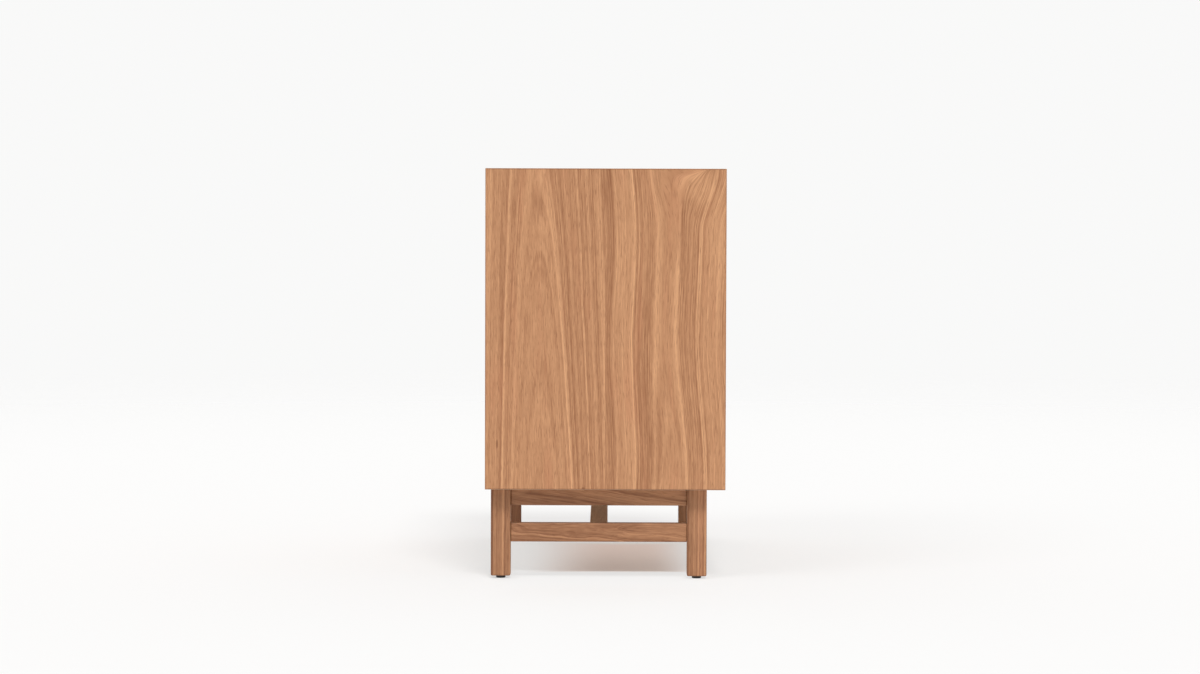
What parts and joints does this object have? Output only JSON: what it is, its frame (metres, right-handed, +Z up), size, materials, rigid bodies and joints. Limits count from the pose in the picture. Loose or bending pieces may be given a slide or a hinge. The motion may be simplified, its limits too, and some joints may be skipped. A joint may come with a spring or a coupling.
{
  "type": "dresser",
  "caption": "Veneered dresser: a mitred case whose drawers slide out by finger gaps over their fronts, on a low base of square legs, rails and stretchers.",
  "frame": {"origin": "on the floor, under the middle of the case", "axes": "+X along the width, to the right of someone who faces the drawers; +Y to the back; +Z up. The drawers open towards -Y."},
  "size_m": [0.96, 0.48, 0.822],
  "materials": {
    "walnut_veneer": "satin oil on walnut veneer",
    "walnut_solid": "satin oil on solid walnut",
    "maple": "clear lacquer on maple",
    "plywood": "clear lacquer on thin plywood",
    "zinc_steel": "bright zinc on rolled steel",
    "black_plastic": "moulded black plastic"
  },
  "bodies": {
    "case": {"base_rail_back": "walnut_solid", "base_rail_front": "walnut_solid", "base_rail_left": "walnut_solid", "base_rail_right": "walnut_solid", "case_back": "walnut_veneer", "case_bottom": "walnut_veneer", "case_side_left": "walnut_veneer", "case_side_right": "walnut_veneer", "case_top": "walnut_veneer", "drawer_bottom_slide_left_cabinet": "zinc_steel", "drawer_bottom_slide_right_cabinet": "zinc_steel", "drawer_middle_slide_left_cabinet": "zinc_steel", "drawer_middle_slide_right_cabinet": "zinc_steel", "drawer_rail_lower": "walnut_veneer", "drawer_rail_upper": "walnut_veneer", "drawer_top_slide_left_cabinet": "zinc_steel", "drawer_top_slide_right_cabinet": "zinc_steel", "glide_back_left": "black_plastic", "glide_back_right": "black_plastic", "glide_front_left": "black_plastic", "glide_front_right": "black_plastic", "leg_back_left": "walnut_solid", "leg_back_right": "walnut_solid", "leg_front_left": "walnut_solid", "leg_front_right": "walnut_solid", "stretcher_left": "walnut_solid", "stretcher_long": "walnut_solid", "stretcher_right": "walnut_solid"},
    "drawer_bottom": {"drawer_bottom_box_back": "maple", "drawer_bottom_box_bottom": "plywood", "drawer_bottom_box_front": "maple", "drawer_bottom_box_left": "maple", "drawer_bottom_box_right": "maple", "drawer_bottom_front": "walnut_veneer", "drawer_bottom_slide_left_drawer": "zinc_steel", "drawer_bottom_slide_right_drawer": "zinc_steel"},
    "carriage_bottom": {"drawer_bottom_slide_left_middle": "zinc_steel", "drawer_bottom_slide_right_middle": "zinc_steel"},
    "drawer_middle": {"drawer_middle_box_back": "maple", "drawer_middle_box_bottom": "plywood", "drawer_middle_box_front": "maple", "drawer_middle_box_left": "maple", "drawer_middle_box_right": "maple", "drawer_middle_front": "walnut_veneer", "drawer_middle_slide_left_drawer": "zinc_steel", "drawer_middle_slide_right_drawer": "zinc_steel"},
    "carriage_middle": {"drawer_middle_slide_left_middle": "zinc_steel", "drawer_middle_slide_right_middle": "zinc_steel"},
    "drawer_top": {"drawer_top_box_back": "maple", "drawer_top_box_bottom": "plywood", "drawer_top_box_front": "maple", "drawer_top_box_left": "maple", "drawer_top_box_right": "maple", "drawer_top_front": "walnut_veneer", "drawer_top_slide_left_drawer": "zinc_steel", "drawer_top_slide_right_drawer": "zinc_steel"},
    "carriage_top": {"drawer_top_slide_left_middle": "zinc_steel", "drawer_top_slide_right_middle": "zinc_steel"}
  },
  "joints": [
    {"name": "drawer_bottom_slide", "type": "slide", "parent": "case", "child": "drawer_bottom", "axis": [0, -1, 0], "range_m": [0, 0.4]},
    {"name": "carriage_bottom_slide", "type": "slide", "parent": "case", "child": "carriage_bottom", "axis": [0, -1, 0], "range_m": [0, 0.2]},
    {"name": "drawer_middle_slide", "type": "slide", "parent": "case", "child": "drawer_middle", "axis": [0, -1, 0], "range_m": [0, 0.4]},
    {"name": "carriage_middle_slide", "type": "slide", "parent": "case", "child": "carriage_middle", "axis": [0, -1, 0], "range_m": [0, 0.2]},
    {"name": "drawer_top_slide", "type": "slide", "parent": "case", "child": "drawer_top", "axis": [0, -1, 0], "range_m": [0, 0.4]},
    {"name": "carriage_top_slide", "type": "slide", "parent": "case", "child": "carriage_top", "axis": [0, -1, 0], "range_m": [0, 0.2]}
  ],
  "couplings": [
    {"joint": "carriage_bottom_slide", "follows": "drawer_bottom_slide", "ratio": 0.5},
    {"joint": "carriage_middle_slide", "follows": "drawer_middle_slide", "ratio": 0.5},
    {"joint": "carriage_top_slide", "follows": "drawer_top_slide", "ratio": 0.5}
  ]
}
